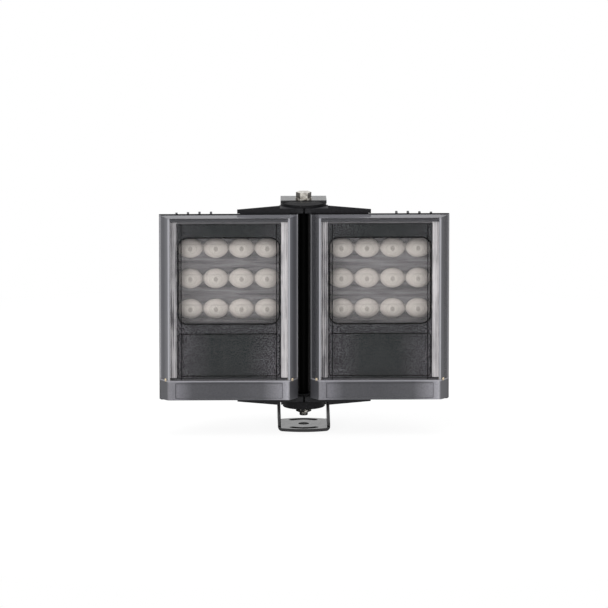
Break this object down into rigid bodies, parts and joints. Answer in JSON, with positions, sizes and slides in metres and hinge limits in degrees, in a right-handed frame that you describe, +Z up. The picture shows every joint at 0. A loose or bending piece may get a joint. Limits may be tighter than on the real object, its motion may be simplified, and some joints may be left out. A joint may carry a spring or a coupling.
{
  "type": "infrared illuminator",
  "caption": "Infrared illuminator with flat rectangular lamp heads side by side on an upright hinge bolt, in a tilting frame on a folded U bracket.",
  "frame": {"origin": "middle of the round hole in the bracket's base, on its mounting face", "axes": "+X to the right seen from the lit front, +Y away from the lit front, +Z up along the hinge bolt"},
  "size_m": [0.2818, 0.089, 0.2335],
  "materials": {
    "gloss_black_steel": "gloss black powder coat",
    "stainless_steel": "machined",
    "black_casting": "textured black powder coat",
    "black_moulding": "moulded, slightly textured",
    "slip_washer": "plain nylon",
    "seal": "moulded silicone",
    "smoky_cover": "smoky clear moulding",
    "tray_moulding": "fine textured moulding",
    "brass": "turned",
    "fascia_black": "textured moulding",
    "pale_rail": "satin moulding",
    "diffuser": "clear sheet",
    "circuit_board": "solder mask",
    "led_package": "silicone dome on ceramic",
    "lens_milky": "milky moulding",
    "black_steel": "blackened",
    "gland_plastic": "moulded nylon"
  },
  "bodies": {
    "bracket": {"u_bracket": "gloss_black_steel", "tilt_bolts": "stainless_steel", "tilt_washers": "stainless_steel", "tilt_nuts": "stainless_steel"},
    "frame": {"hinge_frame": "gloss_black_steel", "top_hinge_cap": "black_moulding", "bottom_hinge_cap": "black_moulding", "hinge_bolt": "stainless_steel", "hinge_nut": "stainless_steel", "hinge_washers": "stainless_steel", "hinge_sleeve": "black_moulding", "pivot_washers": "slip_washer"},
    "left_lamp": {"left_housing": "black_casting", "left_cover_gasket": "seal", "left_front_cover": "smoky_cover", "left_lens_tray": "tray_moulding", "left_tray_screws": "brass", "left_fascia": "fascia_black", "left_side_rails": "pale_rail", "left_lens_insert": "diffuser", "left_led_board": "circuit_board", "left_leds": "led_package", "left_led_optics": "lens_milky", "left_driver_board": "circuit_board", "left_rear_gasket": "seal", "left_rear_cover": "black_casting", "left_rear_cover_screws": "stainless_steel", "left_cover_screws": "stainless_steel", "left_arm_screws": "black_steel", "left_gland_body": "gland_plastic", "left_gland_nut": "gland_plastic", "left_top_arm": "black_casting", "left_bottom_arm": "black_casting"},
    "right_lamp": {"right_housing": "black_casting", "right_cover_gasket": "seal", "right_front_cover": "smoky_cover", "right_lens_tray": "tray_moulding", "right_tray_screws": "brass", "right_fascia": "fascia_black", "right_side_rails": "pale_rail", "right_lens_insert": "diffuser", "right_led_board": "circuit_board", "right_leds": "led_package", "right_led_optics": "lens_milky", "right_driver_board": "circuit_board", "right_rear_gasket": "seal", "right_rear_cover": "black_casting", "right_rear_cover_screws": "stainless_steel", "right_cover_screws": "stainless_steel", "right_arm_screws": "black_steel", "right_gland_body": "gland_plastic", "right_gland_nut": "gland_plastic", "right_top_arm": "black_casting", "right_bottom_arm": "black_casting"}
  },
  "joints": [
    {"name": "tilt", "type": "hinge", "parent": "bracket", "child": "frame", "pos_m": [0, 0.038, 0.0451], "axis": [-1, 0, 0], "range_deg": [-10, 90]},
    {"name": "left_pan", "type": "hinge", "parent": "frame", "child": "left_lamp", "pos_m": [0, 0, 0.1251], "axis": [0, 0, -1], "range_deg": [-2, 40]},
    {"name": "right_pan", "type": "hinge", "parent": "frame", "child": "right_lamp", "pos_m": [0, 0, 0.1251], "axis": [0, 0, 1], "range_deg": [-2, 40]}
  ]
}
